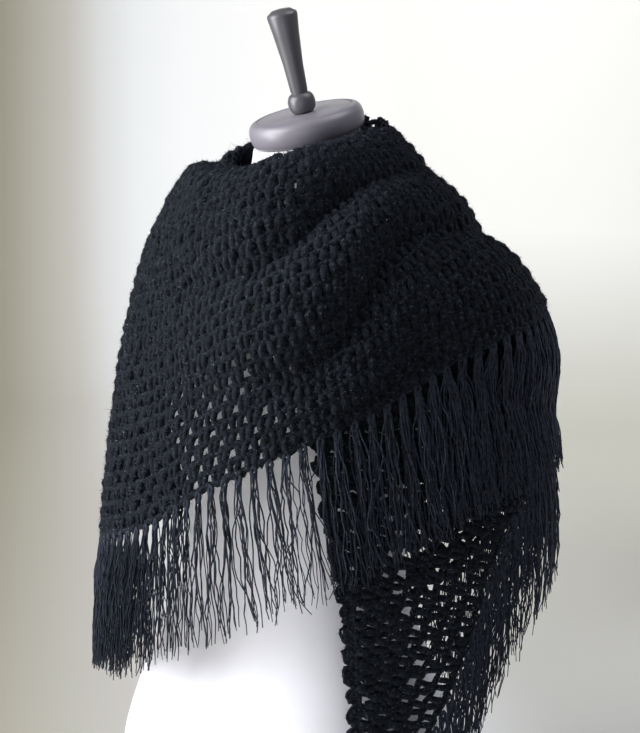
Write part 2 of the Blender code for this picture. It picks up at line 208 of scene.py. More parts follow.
# The wrapped stretch in degrees round the form. The hem's back part ends at HEM_SPLIT.
WRAP_START = 58
WRAP_TURN = 346
WRAP_MIDDLE = 285
HEM_SPLIT = 0.475
END_MIDDLE = 0.70
SECOND_LAYER_FROM = 268.0
SECOND_LAYER_RISE = 36.0
LAST_ANGLE = 490
PROFILE_POINTS = 181
RUN_STEP = 0.004
RUN_COUNT = 236
SHOULDER_STEPS = 20

# The neck, base and shoulder points of the drape at each angle, and its radius at BUST_Z,
# MID_Z and LOW_Z.
BUST_Z = 0.740
MID_Z = 0.500
LOW_Z = 0.080
DRAPE = (
    # angle, neck_r, neck_z, base_r, base_z, shoulder_r, shoulder_z, bust_r, mid_r, low_r
    (0, 0.069, 0.900, 0.090, 0.880, 0.130, 0.846, 0.200, 0.240, 0.223),
    (24, 0.069, 0.903, 0.089, 0.884, 0.126, 0.850, 0.207, 0.270, 0.238),
    (48, 0.071, 0.904, 0.087, 0.884, 0.117, 0.851, 0.203, 0.266, 0.238),
    (90, 0.080, 0.916, 0.084, 0.884, 0.112, 0.850, 0.156, 0.190, 0.198),
    (132, 0.080, 0.926, 0.085, 0.886, 0.116, 0.851, 0.172, 0.198, 0.210),
    (180, 0.076, 0.894, 0.088, 0.866, 0.136, 0.849, 0.188, 0.220, 0.232),
    (222, 0.076, 0.876, 0.092, 0.862, 0.122, 0.854, 0.172, 0.208, 0.220),
    (255, 0.072, 0.862, 0.086, 0.858, 0.110, 0.846, 0.157, 0.196, 0.210),
    (285, 0.071, 0.860, 0.086, 0.858, 0.110, 0.842, 0.166, 0.198, 0.204),
    (312, 0.070, 0.870, 0.087, 0.865, 0.120, 0.845, 0.182, 0.206, 0.204),
    (340, 0.069, 0.888, 0.089, 0.875, 0.128, 0.846, 0.187, 0.213, 0.214),
)

# Where the lower edge of the wrapped stretch runs.
HEM = (
    # angle, hem_z
    (58, 0.600),
    (90, 0.560),
    (132, 0.490),
    (180, 0.436),
    (205, 0.440),
    (222, 0.460),
    (251, 0.494),
    (267, 0.520),
    (281, 0.553),
    (299, 0.588),
    (319, 0.627),
    (343, 0.668),
    (355, 0.690),
    (369, 0.706),
    (404, 0.712),
)

# The three folds of the wrapped stretch, each between two creases: the run where it ends
# and how far it stands off the drape. The first starts at the neck edge.
FOLDS = (
    # angle, cowl_end, cowl, upper_end, upper, lower_end, lower
    (58, 0.085, 0.000, 0.160, 0.000, 0.235, 0.000),
    (132, 0.105, 0.000, 0.190, 0.000, 0.280, 0.000),
    (190, 0.135, 0.000, 0.220, 0.000, 0.310, 0.000),
    (225, 0.160, 0.000, 0.245, 0.000, 0.330, 0.000),
    (240, 0.165, 0.006, 0.245, 0.000, 0.330, 0.000),
    (261, 0.150, 0.016, 0.240, 0.002, 0.325, 0.000),
    (285, 0.138, 0.022, 0.240, 0.010, 0.320, 0.000),
    (300, 0.134, 0.024, 0.238, 0.018, 0.310, 0.000),
    (310, 0.120, 0.024, 0.234, 0.024, 0.302, 0.000),
    (316, 0.103, 0.024, 0.227, 0.026, 0.294, 0.002),
    (322, 0.088, 0.022, 0.208, 0.027, 0.286, 0.006),
    (329, 0.077, 0.020, 0.176, 0.026, 0.268, 0.013),
    (334, 0.071, 0.018, 0.156, 0.024, 0.252, 0.016),
    (341, 0.067, 0.016, 0.138, 0.022, 0.236, 0.018),
    (350, 0.065, 0.014, 0.131, 0.018, 0.246, 0.019),
    (363, 0.065, 0.010, 0.134, 0.013, 0.280, 0.022),
    (377, 0.066, 0.006, 0.142, 0.010, 0.320, 0.025),
    (404, 0.068, 0.004, 0.150, 0.008, 0.350, 0.024),
    (445, 0.072, 0.000, 0.155, 0.000, 0.360, 0.000),
)

# The two hanging ends: their scalloped long edge and fringed hem edge, in angle and run.
FRONT_END = (
    # share, long_angle, long_run, hem_angle, hem_run
    (0.00, 57.6, 0.000, 57.6, 0.368),
    (0.10, 28.0, 0.000, 50.0, 0.364),
    (0.20, -10.0, 0.004, 41.0, 0.362),
    (0.30, -36.0, 0.050, 31.0, 0.370),
    (0.40, -43.0, 0.160, 21.0, 0.387),
    (0.50, -41.0, 0.290, 12.0, 0.420),
    (0.60, -37.0, 0.385, 5.0, 0.470),
    (0.70, -33.0, 0.460, 1.0, 0.525),
    (0.80, -30.0, 0.560, -6.0, 0.600),
    (0.90, -28.0, 0.670, -16.0, 0.690),
    (1.00, -27.0, 0.770, -22.0, 0.785),
)
BACK_END = (
    (0.00, 404.8, 0.000, 404.8, 0.272),
    (0.12, 425.0, 0.000, 408.0, 0.305),
    (0.24, 450.0, 0.010, 410.0, 0.345),
    (0.36, 470.0, 0.060, 413.0, 0.385),
    (0.50, 480.0, 0.160, 417.0, 0.430),
    (0.75, 478.0, 0.380, 431.0, 0.530),
    (1.00, 466.0, 0.610, 459.0, 0.620),
)

TORSO = (
    # z, half_width, half_depth, centre_y
    (0.000, 0.176, 0.140, 0.000),
    (0.012, 0.184, 0.147, 0.000),
    (0.110, 0.198, 0.158, 0.000),
    (0.215, 0.203, 0.162, 0.000),
    (0.290, 0.184, 0.144, -0.001),
    (0.340, 0.163, 0.124, -0.001),
    (0.390, 0.143, 0.107, -0.002),
    (0.450, 0.128, 0.095, -0.002),
    (0.510, 0.132, 0.098, -0.003),
    (0.590, 0.149, 0.112, -0.008),
    (0.670, 0.162, 0.124, -0.012),
    (0.730, 0.174, 0.118, -0.008),
    (0.775, 0.172, 0.100, 0.002),
    (0.805, 0.157, 0.088, 0.006),
    (0.825, 0.139, 0.078, 0.006),
    (0.838, 0.110, 0.067, 0.004),
    (0.848, 0.080, 0.059, 0.002),
    (0.866, 0.059, 0.055, 0.000),
    (0.8958, 0.053, 0.053, 0.000),
)


def hermite(keys, values, at):
    """A smooth value between table rows."""
    if at <= keys[0]:
        return values[0]
    if at >= keys[-1]:
        return values[-1]
    i = bisect.bisect_right(keys, at) - 1
    span = keys[i + 1] - keys[i]
    t = (at - keys[i]) / span

    def slope(j):
        low = max(j - 1, 0)
        high = min(j + 1, len(keys) - 1)
        return (values[high] - values[low]) / (keys[high] - keys[low])

    a = values[i]
    b = values[i + 1]
    t2 = t * t
    t3 = t2 * t
    return (
        a * (2 * t3 - 3 * t2 + 1)
        + slope(i) * span * (t3 - 2 * t2 + t)
        + b * (3 * t2 - 2 * t3)
        + slope(i + 1) * span * (t3 - t2)
    )


def column(table, index, at):
    return hermite([row[0] for row in table], [row[index] for row in table], at)


def columns_at(table, keys):
    """Every column after the first, smooth at each key: an array of keys by columns."""
    return np.array([[column(table, i, key) for i in range(1, len(table[0]))] for key in keys])


def round_table(table):
    """The rows once more before and after, so that angles join up."""
    before = [(row[0] - 360, *row[1:]) for row in table[-3:]]
    after = [(row[0] + 360, *row[1:]) for row in table[:3]]
    return before + list(table) + after


def unit(vectors):
    """The same directions at length 1."""
    return vectors / np.maximum(np.linalg.norm(vectors, axis=-1, keepdims=True), 1e-9)


def distances(spots):
    """How far along a line each of its points is."""
    return np.concatenate([[0.0], np.cumsum(np.linalg.norm(np.diff(spots, axis=0), axis=1))])


def smooth_line(rows, count, power=1.0):
    """Both columns of the rows at evenly spaced spots along a smooth line through them,
    where a step between rows is as long as its distance to this power."""
    spots = [0.0]
    for a, b in zip(rows, rows[1:]):
        spots.append(spots[-1] + math.dist(a, b) ** power)
    at = np.linspace(0.0, spots[-1], count)
    return [np.array([hermite(spots, [row[i] for row in rows], x) for x in at]) for i in (0, 1)]


def profile(values):
    """Radius and height down the drape at each RUN_STEP, from one angle's values."""
    neck_r, neck_z, base_r, base_z, shoulder_r, shoulder_z, bust_r, mid_r, low_r = values
    knots = [
        (neck_r, neck_z),
        (base_r, base_z),
        (shoulder_r, shoulder_z),
        (bust_r, BUST_Z),
        (mid_r, MID_Z),
        (low_r, LOW_Z),
    ]
    r, z = smooth_line(knots, PROFILE_POINTS, 0.6)
    run = np.concatenate([[0.0], np.cumsum(np.hypot(np.diff(r), np.diff(z)))])
    wanted = np.arange(RUN_COUNT) * RUN_STEP
    past = np.maximum(wanted - run[-1], 0.0)
    return np.interp(wanted, run, r), np.interp(wanted, run, z) - past


class Drape:
    """The drape surface as a grid of places and normals, read between its points."""

    def __init__(self):
        table = round_table(DRAPE)
        places = np.zeros((361, RUN_COUNT, 3))
        for angle in range(361):
            values = [column(table, i, angle % 360) for i in range(1, 10)]
            r, z = profile(values)
            turn = math.radians(angle)
            places[angle] = np.stack([r * math.cos(turn), r * math.sin(turn), z], axis=1)
        ring = np.concatenate([places[-2:-1], places, places[1:2]])
        self.places = places
        self.normals = unit(np.cross(np.gradient(places, axis=1), ring[2:] - ring[:-2]))
        self.angles = np.arange(WRAP_START, LAST_ANGLE + 1)
        self.folds = columns_at(FOLDS, self.angles)

    def read(self, grid, angle, run):
        """The grid's values at angles and runs between its points."""
        a = np.mod(angle, 360.0)
        i = np.minimum(a.astype(int), 359)
        s = (a - i)[..., None]
        at = np.clip(run / RUN_STEP, 0.0, RUN_COUNT - 1.001)
        j = at.astype(int)
        t = (at - j)[..., None]
        low = grid[i, j] * (1 - s) + grid[i + 1, j] * s
        high = grid[i, j + 1] * (1 - s) + grid[i + 1, j + 1] * s
        return low * (1 - t) + high * t

    def fold_height(self, angle, run):
        """How far the folds stand off the drape: each puffs out between its two creases."""
        total = np.zeros_like(run)
        top = np.zeros_like(run)
        for i in (0, 2, 4):
            end = np.interp(angle, self.angles, self.folds[:, i])
            height = np.maximum(np.interp(angle, self.angles, self.folds[:, i + 1]), 0.0)
            share = np.clip((run - top) / (end - top), 0.0, 1.0)
            total += height * 4 * share * (1 - share)
            top = end
        return np.where(angle < WRAP_START, 0.0, total)

    def cloth(self, angle, run, extra=0.0):
        """Places on the cloth's outer face and the drape's normals there."""
        angle, run = np.broadcast_arrays(np.asarray(angle, float), np.asarray(run, float))
        normal = self.read(self.normals, angle, run)
        wound = np.clip((angle - SECOND_LAYER_FROM) / SECOND_LAYER_RISE, 0.0, 1.0)
        lift = LAYER_LIFT * wound * wound * (3 - 2 * wound)
        lift = lift + self.fold_height(angle, run) + extra
        return self.read(self.places, angle, run) + normal * lift[..., None], normal


DRAPED = Drape()


def between(edges, share):
    """Angle and run at a share of the way from the long edge to the hem."""
    long_angle, long_run, hem_angle, hem_run = edges
    return long_angle + (hem_angle - long_angle) * share, long_run + (hem_run - long_run) * share


class Stretch:
    """One stretch of the shawl. A place on it is a share along it and a distance in from
    its fringed hem, and its width is the distance from the hem to its long edge."""

    def __init__(self, places, count=700, lines_across=24):
        self.shares = np.linspace(0.0, 1.0, count)
        self.edges = np.array([places(share) for share in self.shares]).T
        across = np.linspace(0.0, 1.0, lines_across)[:, None]
        lines, _ = DRAPED.cloth(*between(self.edges, across))
        self.width = np.linalg.norm(np.diff(lines, axis=0), axis=2).sum(axis=0)

    def width_at(self, share):
        return np.interp(share, self.shares, self.width)

    def place(self, share, inset):
        """Angle and run at a share along and a distance in from the hem."""
        edges = [np.interp(share, self.shares, values) for values in self.edges]
        return between(edges, 1.0 - inset / self.width_at(share))

    def cloth(self, share, inset, extra=0.0):
        """Places on the outer face and the drape's normals there."""
        share, inset = np.broadcast_arrays(np.asarray(share, float), np.asarray(inset, float))
        return DRAPED.cloth(*self.place(share, inset), extra)

    def area(self):
        """Area of the draped cloth, summed over a fine grid."""
        across = np.linspace(0.0, 1.0, 40)[:, None]
        spots, _ = self.cloth(self.shares, across * self.width)
        down = np.diff(spots, axis=0)[:, :-1]
        along = np.diff(spots, axis=1)[:-1]
        return float(np.linalg.norm(np.cross(down, along), axis=2).sum())

    def lengths(self, inset):
        """Distance along the row at this inset, at each of the stretch's shares."""
        return distances(self.cloth(self.shares, np.full_like(self.shares, inset))[0])


def wrap_stretch():
    """From the neck edge down to the hem, which lies where the drape reaches HEM's height."""
    angles = np.linspace(WRAP_START, WRAP_START + WRAP_TURN, 2 * WRAP_TURN + 1)
    below = np.arange(SHOULDER_STEPS, RUN_COUNT) * RUN_STEP
    hem_runs = []
    for angle in angles:
        heights = DRAPED.read(DRAPED.places, np.full_like(below, angle), below)[:, 2]
        hem_runs.append(np.interp(-column(HEM, 1, angle), -heights, below))

    def places(share):
        angle = WRAP_START + WRAP_TURN * share
        return angle, 0.0, angle, np.interp(angle, angles, hem_runs)

    return Stretch(places)


def end_stretch(rows):
    """A hanging end, from the table of its two edges."""
    return Stretch(lambda share: [column(rows, i, share) for i in range(1, 5)])


class Tubes:
    """Closed tubes along many lines, joined into one mesh."""

    def __init__(self):
        self.points = []
        self.faces = []
        self.count = 0

    def add(self, lines, normals, radii, sides, lumps=None, depth=1.0):
        """Lines is strands by points by 3; radii is strands by points; lumps is a random
        generator where the yarn is uneven all round, and depth is thickness over width."""
        strands, length, _ = lines.shape
        along = unit(np.gradient(lines, axis=1))
        side = unit(np.cross(along, normals))
        up = np.cross(side, along)
        turn = 2 * np.pi * np.arange(sides) / sides
        ring = side[:, :, None] * np.cos(turn)[:, None]
        ring = ring + up[:, :, None] * (depth * np.sin(turn))[:, None]
        reach = np.repeat(radii[:, :, None], sides, axis=2)
        if lumps is not None:
            reach = reach * (1 + LUMPINESS * lumps.normal(0, 1, reach.shape).clip(-2, 2))
        points = lines[:, :, None] + ring * reach[..., None]
        index = self.count + np.arange(points[..., 0].size).reshape(strands, length, sides)
        after = np.roll(index, -1, axis=2)
        quads = np.stack(
            [index[:, :-1], index[:, 1:], after[:, 1:], after[:, :-1]], axis=-1
        ).reshape(-1, 4)
        self.points.append(points.reshape(-1, 3))
        self.faces.append(quads)
        self.faces.append(index[:, 0].reshape(-1, sides))
        self.faces.append(index[:, -1, ::-1].reshape(-1, sides))
        self.count += points.shape[0] * length * sides

    def build(self, name, material):
        return mesh_piece(name, np.concatenate(self.points), self.faces, material)


def new_object(name, data):
    obj = bpy.data.objects.new(name, data)
    bpy.context.scene.collection.objects.link(obj)
    return obj


def mesh_piece(name, points, face_groups, material, smooth=True):
    """A mesh object from points and groups of equal-sided faces, riding on the form."""
    mesh = bpy.data.meshes.new(name)
    mesh.vertices.add(len(points))
    mesh.vertices.foreach_set("co", points.astype(np.float32).ravel())
    loops = np.concatenate([group.ravel() for group in face_groups])
    sizes = np.concatenate([np.full(len(group), group.shape[1]) for group in face_groups])
    mesh.loops.add(len(loops))
    mesh.loops.foreach_set("vertex_index", loops.astype(np.int32))
    mesh.polygons.add(len(sizes))
    starts = np.concatenate([[0], np.cumsum(sizes)[:-1]])
    mesh.polygons.foreach_set("loop_start", starts.astype(np.int32))
    mesh.update(calc_edges=True)
    if smooth:
        mesh.shade_smooth()
    mesh.materials.append(material)
    piece = new_object(name, mesh)
    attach(piece, "root")
    return piece


def slivers(name, points, material):
    """A mesh of loose triangles; points holds three for each."""
    index = np.arange(points.shape[0] * 3).reshape(-1, 3)
    return mesh_piece(name, points.reshape(-1, 3), [index], material, smooth=False)


def rings_piece(name, points, sides, crease, material):
    """A closed mesh through rings of points, from the lowest up, with sharp edges past an
    angle in degrees."""
    grid = np.arange(len(points)).reshape(-1, sides)
    after = np.roll(grid, -1, axis=1)
    quads = np.stack([grid[:-1], after[:-1], after[1:], grid[1:]], axis=-1).reshape(-1, 4)
    piece = mesh_piece(name, np.array(points), [quads, grid[:1, ::-1], grid[-1:]], material)
    piece.data.set_sharp_from_angle(angle=math.radians(crease))
    return piece


def spread_row(stretch, inset, phase, anchor):
    """Shares of evenly spaced stitches along a row, and the share that a metre takes there."""
    lengths = stretch.lengths(inset)
    start = np.interp(anchor, stretch.shares, lengths) + phase
    first = math.ceil((lengths[0] - start) / STITCH_PITCH)
    last = math.floor((lengths[-1] - start) / STITCH_PITCH)
    spots = start + STITCH_PITCH * np.arange(first, last + 1)
    behind, shares, ahead = (
        np.interp(spots + step, lengths, stretch.shares) for step in (-NUDGE, 0.0, NUDGE)
    )
    return shares, (ahead - behind) / (2 * NUDGE)


def jitter(rng, spread, count):
    """A random shift for each of the stitches in a row."""
    return rng.normal(0, spread, (count, 1))


def ease(value, start, end):
    """A smooth step from 0 at start to 1 at end."""
    share = np.clip((value - start) / (end - start), 0.0, 1.0)
    return share * share * (3 - 2 * share)


def wrap_openness(stretch, shares, inset):
    """The net is drawn open low in front, and brushed shut everywhere else."""
    angle, _ = stretch.place(shares, np.full_like(shares, inset))
    return ease(angle, *OPEN_PAST) * ease(angle, *OPEN_BEFORE) * ease(inset, *OPEN_UNDER)


def end_openness(stretch, shares, inset):
    """A hanging end is open low down, but for a matted band beside its scalloped edge."""
    from_edge = stretch.width_at(shares) - inset
    return ease(from_edge, *END_OPEN_INSIDE) * ease(shares, *END_OPEN_BELOW)


def crochet(name, stretch, anchor, openness, trim, rng, material):
    """Rows of paired posts over chains, parallel to the hem, cut off by the long edge.
    The posts are one piece, and the chains on them with the bars behind are another."""
    tubes = Tubes()
    backs = Tubes()
    rows = int(stretch.width.max() / ROW_HEIGHT)
    steps = np.linspace(0.0, 1.0, 5)
    bulge = np.sin(np.pi * steps)
    for row in range(rows):
        inset = (row + FIRST_ROW) * ROW_HEIGHT
        shares, rate = spread_row(stretch, inset, row * STITCH_PITCH / 3, anchor)
        room = stretch.width_at(shares) - inset - trim
        keep = room > ROW_HEIGHT * LEAST_ROW
        shares, rate, room = shares[keep], rate[keep], room[keep]
        count = len(shares)
        if count == 0:
            continue
        open_here = openness(stretch, shares, inset)[:, None]
        height = np.minimum(ROW_HEIGHT, room)[:, None]
        middle = shares[:, None] + jitter(rng, 0.0006, count) * rate[:, None]
        for lean in (-1.0, 1.0):
            foot = POST_FOOT - 0.0011 * open_here + jitter(rng, 0.0004, count)
            head = POST_HEAD - 0.0009 * open_here + jitter(rng, 0.0005, count)
            bow = jitter(rng, 0.0006, count) * bulge
            off = lean * (foot + (head - foot) * steps ** 0.8) + bow
            at_share = np.clip(middle + off * rate[:, None], 0.0, 1.0)
            puff = YARN_LIFT + POST_PUFF * bulge * rng.uniform(0.3, 1.3, (count, 1))
            lines, normals = stretch.cloth(at_share, inset + height * steps, puff)
            swell = 1.06 - 0.27 * open_here + jitter(rng, 0.06, count)
            radii = POST_RADIUS * swell * (0.80 + 0.32 * bulge)
            tubes.add(lines, normals, radii, TUBE_SIDES, rng, POST_DEPTH)
        add_chain(backs, stretch, inset, shares, rate, 1.04 - 0.12 * open_here, rng)
        shut = rng.uniform(0, 1, count) > open_here[:, 0] * 0.97
        add_bars(backs, stretch, inset, shares[shut], rate[shut], height[shut], rng)
    return tubes.build(name, material), backs.build(name + "_ridges", material)


def add_chain(tubes, stretch, inset, shares, rate, thickness, rng):
    """The rope of chain stitches that a row stands on, one link for each stitch."""
    half = STITCH_PITCH * 0.54
    steps = np.linspace(-half, half, 6)
    at_share = np.clip(shares[:, None] + steps * rate[:, None], 0.0, 1.0)
    wave = 0.0009 * np.cos(6 * np.pi * steps / STITCH_PITCH)
    at_inset = inset + wave + jitter(rng, 0.0006, len(shares))
    at_inset = at_inset + rng.normal(0, 0.0004, at_share.shape)
    lines, normals = stretch.cloth(at_share, at_inset, CHAIN_LIFT)
    bulge = 0.20 * np.cos(4 * np.pi * steps / STITCH_PITCH)
    swell = thickness + bulge + jitter(rng, 0.09, len(shares))
    tubes.add(lines, normals, CHAIN_RADIUS * swell, TUBE_SIDES, rng)


def add_bars(tubes, stretch, inset, shares, rate, height, rng):
    """The back strand of each stitch, which lies behind the gap to the next."""
    steps = np.linspace(0.0, 1.0, 4)
    drift = jitter(rng, 0.0012, len(shares)) * (1 - 2 * steps)
    at_share = shares[:, None] + (STITCH_PITCH / 2 + drift) * rate[:, None]
    lines, normals = stretch.cloth(np.clip(at_share, 0, 1), inset + height * steps, -BAR_DEPTH)
    swell = 1.0 + jitter(rng, 0.06, len(shares)) * np.ones(len(steps))
    tubes.add(lines, normals, BAR_RADIUS * swell, TUBE_SIDES, rng)


def edge_chain(tubes, stretch, inset_from_long, radius):
    """A thick chain that finishes the long edge."""
    shares = np.linspace(0.0, 1.0, EDGE_POINTS)
    inset = np.maximum(stretch.width_at(shares) - inset_from_long, 0.0)
    lines, normals = stretch.cloth(shares, inset)
    swell = 1.0 + 0.12 * np.sin(np.arange(EDGE_POINTS) * 2.1)
    tubes.add(lines[None], normals[None], (radius * swell)[None], 6)


def shell_row(tubes, stretch, first, side, rng):
    """Fans of posts along the long edge, each closed by an arched chain."""
    lengths = distances(stretch.cloth(stretch.shares, stretch.width)[0])
    start, end = np.interp([first, SHELLS_END], stretch.shares, lengths)
    shells = round((end - start) / SHELL_PITCH)
    pitch = (end - start) / shells
    at = start + pitch * (np.arange(shells) + 0.5)
    shares = np.interp(at, lengths, stretch.shares)
    edge_width = stretch.width_at(shares)
    here, normal = stretch.cloth(shares, edge_width, YARN_LIFT)
    ahead, _ = stretch.cloth(np.minimum(shares + 0.004, 1.0), edge_width, YARN_LIFT)
    behind, _ = stretch.cloth(np.maximum(shares - 0.004, 0.0), edge_width, YARN_LIFT)
    along = unit(ahead - behind)
    off = unit(np.cross(along, normal) * side)
    size = 1.0 + jitter(rng, 0.07, shells)

    def add_lines(sideways, outwards, radii):
        across = along[:, None] * sideways[..., None]
        lines = here[:, None] + across + off[:, None] * outwards[..., None]
        normals = np.broadcast_to(normal[:, None], lines.shape)
        tubes.add(lines, normals, radii, TUBE_SIDES, rng)

    steps = np.linspace(0.0, 1.0, 4)
    reach = SHELL_DEPTH * 0.84 * steps * size + 0.001
    for turn in np.radians(SHELL_TURNS):
        radii = POST_RADIUS * (0.55 + 0.20 * steps) * (1 + jitter(rng, 0.12, shells))
        add_lines(np.sin(turn) * reach, np.cos(turn) * reach - 0.002, radii)
    turn = np.radians(np.linspace(-92, 92, SHELL_ARCH_POINTS))
    shape = (shells, SHELL_ARCH_POINTS)
    sideways = np.sin(turn) * pitch * 0.50 * size + rng.normal(0, 0.0006, shape)
    outwards = np.cos(turn) * (SHELL_DEPTH * 0.92) * size + rng.normal(0, 0.0008, shape)
    knobs = 1.0 + rng.normal(0, 0.20, shape)
    add_lines(sideways, outwards, POST_RADIUS * 0.50 * knobs)


def as_degrees(distance):
    """A sideways distance on the hanging fringe as an angle round the form."""
    return np.degrees(distance / HANG_RADIUS)


def tassels(name, stretch, first, last, sway_at, strands_at, fan, rng, material):
    """Lark's-head tassels along the hem: crimped strands that hang close to the drape.
    The share of the hem sets how far a tassel sways and how many strands it has, and fan
    is how far they spread."""
    tubes = Tubes()
    lengths = stretch.lengths(0.0)
    start, end = np.interp([first, last], stretch.shares, lengths)
    count = round((end - start) / TASSEL_PITCH)
    along = (np.arange(count) + 0.5) / count
    shares = np.interp(start + (end - start) * along, lengths, stretch.shares)
    angle, run = stretch.place(shares, np.zeros_like(shares))
    sway = np.array([sway_at(x) for x in along]) + rng.normal(0, 0.7, count)
    room = DRAPED.cloth(angle, run)[0][:, 2] - LOWEST_TIP
    longest = np.minimum(FRINGE_LENGTH, room)
    wanted = np.array([strands_at(x) for x in along])
    add_knots(tubes, angle, run, rng)
    for strand in range(int(wanted.max())):
        has = strand < wanted
        place = strand / (wanted[has] - 1.0) - 0.5
        hang_strands(tubes, angle[has], run[has], sway[has], longest[has], place, fan, rng)
    return tubes.build(name, material)


def hang_strands(tubes, angle, run, sway, longest, place, fan, rng):
    """One strand of each tassel; its place in the tassel is from -0.5 to 0.5."""
    count = len(angle)
    hang = np.linspace(0.0, 1.0, STRAND_POINTS)
    drop = longest * rng.uniform(0.88, 1.03, count)
    spread = place * fan + rng.normal(0, fan * 0.19, count)
    tip = as_degrees(spread) + sway + rng.normal(0, 0.6, count)
    root = as_degrees(place * 0.006)
    crimp = rng.uniform(0.0004, 0.0015, (count, 1))
    waves = rng.uniform(2.5, 5.5, (count, 1))
    start_at = rng.uniform(0, 2 * np.pi, (count, 1))
    bend = rng.normal(0, 0.0036, (count, 1))
    swing = np.sin(2 * np.pi * waves * hang + start_at) * crimp
    swing = swing + np.sin(np.pi * hang * rng.uniform(0.8, 2.6, (count, 1)) + start_at) * bend
    swing = swing * np.minimum(hang * 5, 1.0)
    at_angle = (angle + root)[:, None] + (tip - root)[:, None] * hang ** 1.2
    at_angle = at_angle + as_degrees(swing)
    at_run = run[:, None] + HEM_GAP + drop[:, None] * hang
    other = np.sin(2 * np.pi * waves * 0.83 * hang + 2 * start_at) * crimp
    stand_off = rng.uniform(-0.003, 0.004, (count, 1)) * np.minimum(hang * 4, 1.0)
    lift = FRINGE_LIFT + stand_off + other
    lines, normals = DRAPED.cloth(at_angle, at_run, lift)
    radii = STRAND_RADIUS * (1 - 0.35 * hang ** 3) * rng.uniform(0.8, 1.25, (count, 1))
    tubes.add(lines, normals, radii, 3)


def add_knots(tubes, angle, run, rng):
    """The looped head of each tassel, pulled through the hem's chain."""
    steps = np.linspace(0.0, 1.0, 5)
    for lean in (-1.0, 1.0):
        at_angle = angle[:, None] + lean * as_degrees(0.0024) * np.sin(np.pi * steps)
        at_run = run[:, None] - 0.005 + 0.012 * steps
        lines, normals = DRAPED.cloth(at_angle, at_run, KNOT_LIFT)
        radii = KNOT_RADIUS * (1 + jitter(rng, 0.08, len(angle))) * np.ones(len(steps))
        tubes.add(lines, normals, radii, TUBE_SIDES)


def halo(name, stretches, count, rng, material):
    """Fine hairs that stand off the brushed yarn, each a bent blade of three triangles."""
    points = []
    areas = np.array([np.trapz(s.width, s.lengths(0.0)) for s in stretches])
    for stretch, share_of in zip(stretches, areas / areas.sum()):
        hairs = int(count * share_of)
        share = rng.uniform(0, 1, hairs * 2)
        kept = rng.uniform(0, stretch.width.max(), hairs * 2) < stretch.width_at(share)
        share = share[kept][:hairs]
        inset = rng.uniform(0, 1, len(share)) * stretch.width_at(share)
        root, normal = stretch.cloth(share, inset, rng.uniform(-0.002, 0.002, len(share)))
        points.append(hair_points(root, normal, rng))
    points = np.concatenate(points)
    index = np.arange(len(points) * 5).reshape(-1, 5)
    quads = index[:, [0, 1, 3, 2]]
    tips = index[:, [2, 3, 4]]
    return mesh_piece(name, points.reshape(-1, 3), [quads, tips], material)


def read_faces(pieces, key, size):
    """One measure of every face of these pieces, a row for each."""
    rows = []
    for piece in pieces:
        faces = piece.data.polygons
        read = np.empty(len(faces) * size, np.float32)
        faces.foreach_get(key, read)
        rows.append(read.reshape(-1, size))
    return np.concatenate(rows)


def fuzz(name, pieces, count, rng, materials):
    """Short fibres brushed up from the outer side of the yarn, each one thin triangle."""
    centres = read_faces(pieces, "center", 3)
    normals = read_faces(pieces, "normal", 3)
    areas = read_faces(pieces, "area", 1).ravel()
    outward = unit(centres * (1.0, 1.0, 0.0))
    outside = (normals * outward).sum(axis=1) + 0.3 * normals[:, 2] > -0.1
    weights = areas * outside
    chosen = rng.choice(len(areas), count, p=weights / weights.sum())
    normal = normals[chosen]
    across = rng.normal(0, 1, (count, 3))
    across = unit(across - normal * (across * normal).sum(axis=1, keepdims=True))
    way = unit(across + normal * rng.uniform(0.05, 1.8, (count, 1)))
    length = FIBRE_LENGTH * rng.uniform(0.4, 1.0, (count, 1))
    root = centres[chosen] - way * length * 0.35 + normal * 0.0005
    half = unit(np.cross(normal, way)) * (FIBRE_WIDTH / 2)
    points = np.stack([root - half, root + half, root + way * length], axis=1)
    piece = slivers(name, points, materials[0])
    for material in materials[1:]:
        piece.data.materials.append(material)
    shade = rng.integers(0, len(materials), count).astype(np.int32)
    piece.data.polygons.foreach_set("material_index", shade)
    return piece


def glints(name, stretches, count, rng, material):
    """Slivers of the metal filament that lie on the yarn at all angles."""
    points = []
    for stretch in stretches:
        share = rng.uniform(0, 1, count)
        inset = rng.uniform(0, 1, count) * stretch.width_at(share)
        spot, _ = stretch.cloth(share, inset, rng.uniform(0.002, 0.0046, count))
        ways = unit(rng.normal(0, 1, (2, count, 3)))
        corners = [spot, spot + ways[0] * GLINT_LENGTH, spot + ways[1] * GLINT_LENGTH * 0.4]
        points.append(np.stack(corners, axis=1))
    return slivers(name, np.concatenate(points), material)


def hair_points(root, normal, rng):
    """Five points of each blade: two at its foot, two at its bend and its tip."""
    count = len(root)
    wild = unit(rng.normal(0, 1, (count, 3)))
    way = unit(normal * rng.uniform(0.1, 1.0, (count, 1)) + wild * 0.75)
    bend = unit(way + rng.normal(0, 0.55, (count, 3)))
    length = rng.uniform(0.35, 1.0, (count, 1)) * HAIR_LENGTH
    half = unit(np.cross(way, rng.normal(0, 1, (count, 3)))) * (HAIR_WIDTH / 2)
    middle = root + way * length * 0.5
    tip = middle + bend * length * 0.5
    return np.stack([root - half, root + half, middle - half, middle + half, tip], axis=1)


def rounder(value):
    """A cosine or sine that makes a section slightly squarer than an ellipse."""
    return math.copysign(abs(value) ** 0.92, value)


